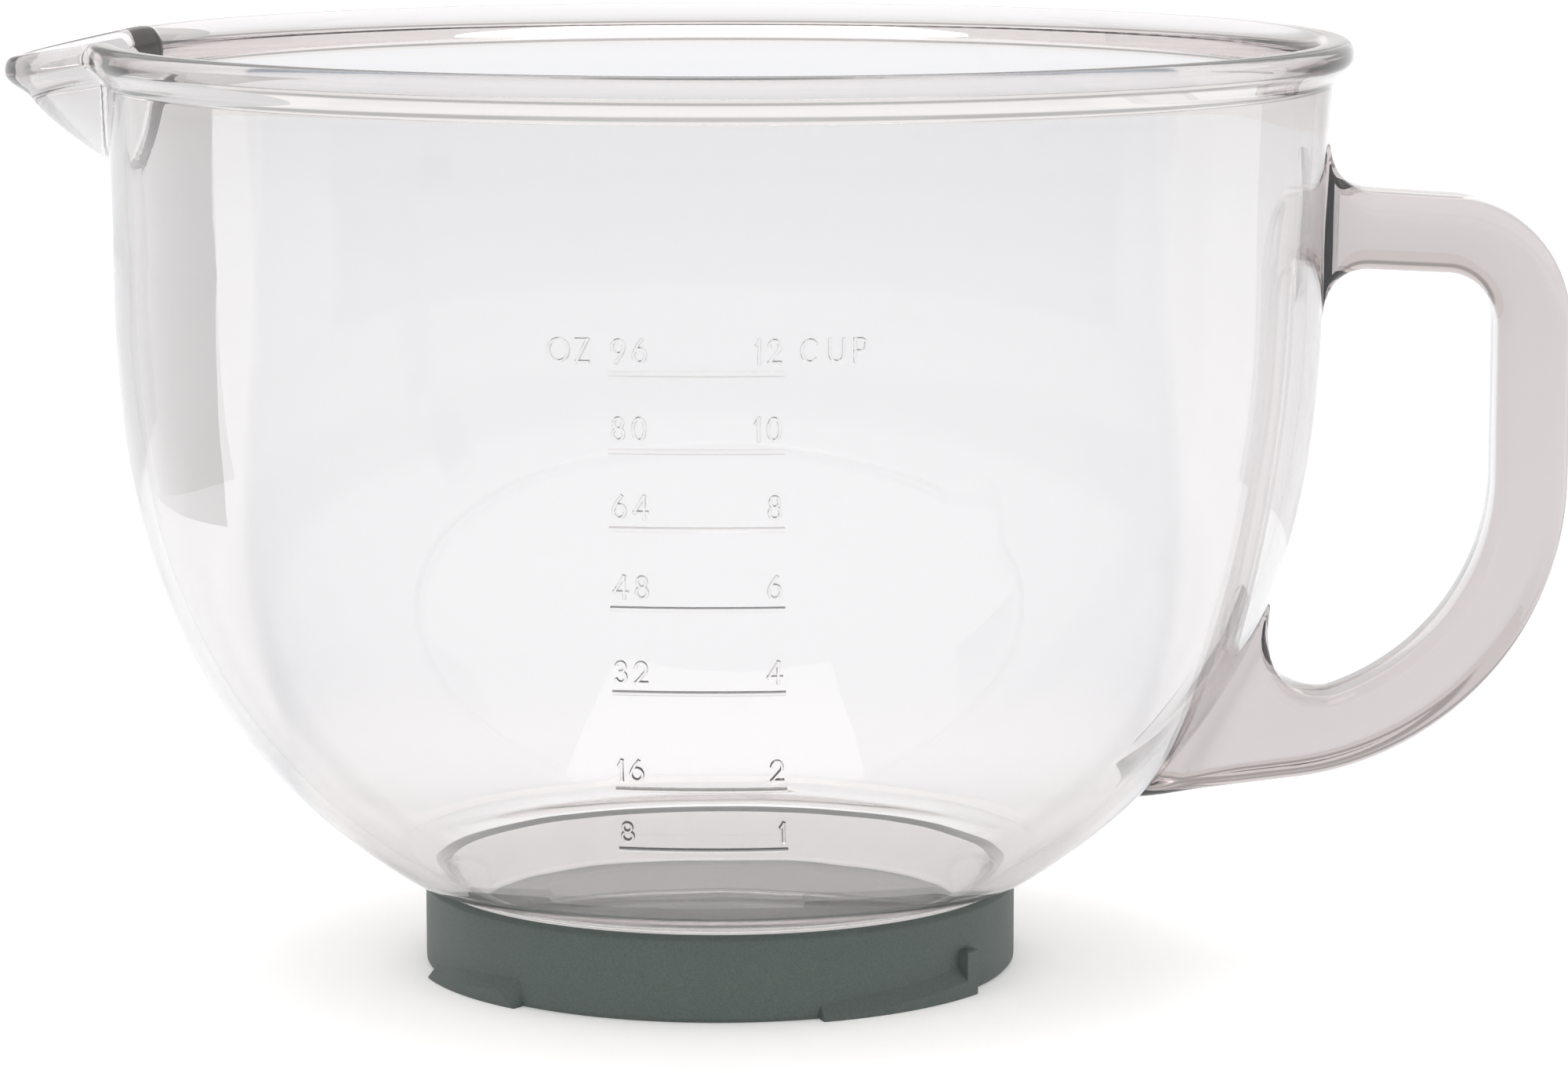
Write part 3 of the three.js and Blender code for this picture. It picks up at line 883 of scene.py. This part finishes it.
def build_screw(name, x, y):
    """A pan-head screw, head down, with a cross recess."""
    low, high = screw_low[2], screw_high[2]
    head, shoulder = SCREW_HEAD_RADIUS, low + SCREW_HEAD_HEIGHT
    shank, root = SCREW_SHANK_RADIUS, SCREW_SHANK_RADIUS * SCREW_ROOT_SHARE
    outline = [
        (0, low),
        (head * 0.55, low),
        (head * 0.85, low + 0.08 * MM),
        (head, low + 0.25 * MM),
        (head, shoulder),
        (shank, shoulder),
    ]
    height = low + 0.9 * MM
    while height < high - 0.9 * MM:
        outline += [(root, height), (shank, height + SCREW_PITCH * 0.4)]
        height += SCREW_PITCH
    outline += [(root, high - 0.4 * MM), (shank * 0.2, high), (0, high)]
    screw = revolve(name, outline, SCREW_COLUMNS, STEEL)
    for a, b in ((CROSS_LENGTH, CROSS_WIDTH), (CROSS_WIDTH, CROSS_LENGTH)):
        corners = [(-a, -b), (a, -b), (a, b), (-a, b)]
        levels = (low - MM, low + CROSS_DEPTH)
        slot = loft("slot", [[(u, v, level) for u, v in corners] for level in levels])
        combine(screw, slot, "DIFFERENCE")
    shade(screw, angle=30)
    return moved(screw, x, y)


pieces = [
    (build_collar(), "base_collar", "green_plastic"),
    (build_plate(), "base_plate", "green_plastic"),
    (build_seat(), "seat_ring", "pale_silicone"),
    (build_slip_disc(), "anti_slip_disc", "grey_silicone"),
]
for number, (x, y) in enumerate(screw_places(), 1):
    pieces.append((build_screw(f"pan_head_screw_{number}", x, y), f"base_screw_{number}", "steel"))
for piece, node, slot in pieces:
    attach(piece, "root")
    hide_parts(node)

# ---- Stage ----
FLOOR_REACH = 40
# The floor glows more strongly away from the base: between two distances, between two strengths. The weaker
# glow near the base is painted shade round it.
FLOOR_GLOW = (0.06, 0.16, 0.24, 0.5)
# In reflections the floor is bright inside the first radius and gloomy outside the second.
POOL_RADIUS = (0.09, 0.17)
# Behind the bowl's axis the gloom goes no further than this share.
BACK_GLOOM = 0.35
GLOOM_COLOUR = (0.44, 0.52, 0.60, 1)
# The world's grey levels, each with the height of the direction (0 level, 1 straight up) that has it.
WORLD_LEVELS = ((0.11, 0.77), (0.18, 0.4), (0.26, 0.4), (0.32, 0.84))
WORLD_WARMTH = (1, 0.985, 0.975)
WORLD_STRENGTH = 1.3
CARD_RADIUS = 0.42
CARD_HEIGHT = 0.6
CARD_FOOT = 0.002


def set_range(node, low, high, start, end):
    for socket, number in zip(("From Min", "From Max", "To Min", "To Max"), (low, high, start, end)):
        node.inputs[socket].default_value = number


def floor_material():
    """A pale floor that the glass reflects brightly near the bowl and dimly further off."""
    made = material("floor_white", Base_Color=(0.86, 0.86, 0.86, 1), Roughness=0.95, Specular_IOR_Level=0.0,
                    Emission_Color=(1, 1, 1, 1))
    nodes, links = made.node_tree.nodes, made.node_tree.links

    def smooth_range(value, *numbers):
        node = nodes.new("ShaderNodeMapRange")
        node.interpolation_type = "SMOOTHSTEP"
        set_range(node, *numbers)
        links.new(value, node.inputs["Value"])
        return node.outputs["Result"]

    def math_node(operation, first, second):
        node = nodes.new("ShaderNodeMath")
        node.operation = operation
        links.new(first, node.inputs[0])
        links.new(second, node.inputs[1])
        return node.outputs[0]

    place = nodes.new("ShaderNodeTexCoord").outputs["Object"]
    split = nodes.new("ShaderNodeSeparateXYZ")
    links.new(place, split.inputs[0])
    length = nodes.new("ShaderNodeVectorMath")
    length.operation = "LENGTH"
    links.new(place, length.inputs[0])
    # Emission weaker near the base: painted shade on the floor round the base.
    links.new(smooth_range(length.outputs["Value"], *FLOOR_GLOW),
              nodes["Principled BSDF"].inputs["Emission Strength"])
    behind = smooth_range(split.outputs["Y"], -0.01, 0.01, 1, BACK_GLOOM)
    away = smooth_range(length.outputs["Value"], *POOL_RADIUS, 0, 1)
    seen = nodes.new("ShaderNodeLightPath").outputs["Is Glossy Ray"]
    gloom = nodes.new("ShaderNodeEmission")
    gloom.inputs["Color"].default_value = GLOOM_COLOUR
    blend = nodes.new("ShaderNodeMixShader")
    links.new(math_node("MULTIPLY", math_node("MINIMUM", behind, away), seen), blend.inputs["Fac"])
    links.new(nodes["Principled BSDF"].outputs[0], blend.inputs[1])
    links.new(gloom.outputs[0], blend.inputs[2])
    links.new(blend.outputs[0], nodes["Material Output"].inputs["Surface"])
    return made


def studio_world():
    """White walls round the horizon, dimmer above them, and a bright ceiling."""
    world = bpy.data.worlds.new("studio")
    bpy.context.scene.world = world
    world.use_nodes = True
    nodes, links = world.node_tree.nodes, world.node_tree.links
    split = nodes.new("ShaderNodeSeparateXYZ")
    links.new(nodes.new("ShaderNodeTexCoord").outputs["Generated"], split.inputs[0])
    level = nodes.new("ShaderNodeValToRGB")
    level.color_ramp.interpolation = "EASE"
    stops = level.color_ramp.elements
    while len(stops) < len(WORLD_LEVELS):
        stops.new(0.5)
    for stop, (height, grey) in zip(stops, WORLD_LEVELS):
        stop.position = height
        stop.color = (*[grey * part for part in WORLD_WARMTH], 1)
    links.new(split.outputs["Z"], level.inputs["Fac"])
    links.new(level.outputs["Color"], nodes["Background"].inputs["Color"])
    nodes["Background"].inputs["Strength"].default_value = WORLD_STRENGTH


def around(azimuth, radius):
    """A place on the floor, azimuth degrees round from the front (-Y) towards +X."""
    return (radius * math.sin(math.radians(azimuth)), -radius * math.cos(math.radians(azimuth)))


def reflector(name, start, end, tones):
    """An upright card that only reflections see, graded from its start to its end."""
    made = bpy.data.materials.new(name)
    made.use_nodes = True
    nodes, links = made.node_tree.nodes, made.node_tree.links
    split = nodes.new("ShaderNodeSeparateXYZ")
    grade = nodes.new("ShaderNodeMapRange")
    set_range(grade, start[1], end[1], *tones)
    glow = nodes.new("ShaderNodeEmission")
    links.new(nodes.new("ShaderNodeTexCoord").outputs["Object"], split.inputs[0])
    links.new(split.outputs["Y"], grade.inputs["Value"])
    links.new(grade.outputs["Result"], glow.inputs["Strength"])
    links.new(glow.outputs[0], nodes["Material Output"].inputs["Surface"])
    corners = [(*start, CARD_FOOT), (*end, CARD_FOOT), (*end, CARD_HEIGHT), (*start, CARD_HEIGHT)]
    card = new_object(name, corners, [(0, 1, 2, 3)], made)
    card.visible_camera = False
    card.visible_transmission = False
    card.visible_diffuse = False
    card.visible_shadow = False


def flag(name, left, right, foot, head, behind, tone):
    """An upright grey card behind the bowl that is seen only through the glass."""
    made = bpy.data.materials.new(name)
    made.use_nodes = True
    nodes, links = made.node_tree.nodes, made.node_tree.links
    glow = nodes.new("ShaderNodeEmission")
    glow.inputs["Color"].default_value = (tone, tone, tone * 1.01, 1)
    links.new(glow.outputs[0], nodes["Material Output"].inputs["Surface"])
    places = [(left, foot), (right, foot), (right, head), (left, head)]
    card = new_object(name, [(x, behind, z) for x, z in places], [(0, 1, 2, 3)], made)
    card.visible_camera = False
    card.visible_glossy = False
    card.visible_diffuse = False
    card.visible_shadow = False


def softbox(name, place, target, size, power):
    data = bpy.data.lights.new(name, "AREA")
    data.size = size
    data.energy = power
    lamp = bpy.data.objects.new(name, data)
    lamp.location = place
    lamp.rotation_euler = (Vector(target) - Vector(place)).to_track_quat("-Z", "Y").to_euler()
    lamp.visible_glossy = False
    bpy.context.collection.objects.link(lamp)


floor_corners = [(x * FLOOR_REACH, y * FLOOR_REACH, 0) for x, y in ((-1, -1), (1, -1), (1, 1), (-1, 1))]
floor = new_object("floor", floor_corners, [(0, 1, 2, 3)], floor_material())
studio_world()
reflector("left_card", around(-92.6, CARD_RADIUS), around(-125, CARD_RADIUS), tones=(0.0, 1.2))
reflector("right_card", around(108.6, CARD_RADIUS), around(154, CARD_RADIUS), tones=(0.35, 1.2))
flag("left_flag", left=-0.30, right=-0.1215, foot=0.054, head=0.30, behind=0.16, tone=0.76)
softbox("top_box", place=(0, 0.1, 1.5), target=(0, 0, 0), size=1.0, power=7)

# ---- Camera ----
# Metres, then degrees, then the lens in millimetres.
CAMERA_DISTANCE = 1.0247
CAMERA_HEIGHT = 0.2330
CAMERA_AZIMUTH = 2.0
CAMERA_AIM = 0.668
CAMERA_DROP = 8.518
CAMERA_LENS = 128.1


def build_camera():
    orbit = math.radians(CAMERA_AZIMUTH)
    heading = math.radians(CAMERA_AIM - CAMERA_AZIMUTH)
    drop = math.radians(CAMERA_DROP)
    data = bpy.data.cameras.new("camera")
    data.lens = CAMERA_LENS
    data.sensor_width = 36
    data.clip_start = 0.05
    data.clip_end = 100
    camera = bpy.data.objects.new("camera", data)
    camera.location = (CAMERA_DISTANCE * math.sin(orbit), -CAMERA_DISTANCE * math.cos(orbit), CAMERA_HEIGHT)
    aim = Vector((math.sin(heading) * math.cos(drop), math.cos(heading) * math.cos(drop), -math.sin(drop)))
    camera.rotation_euler = aim.to_track_quat("-Z", "Y").to_euler()
    bpy.context.collection.objects.link(camera)
    return camera


bpy.context.scene.camera = build_camera()
bpy.context.scene.view_settings.view_transform = "Standard"
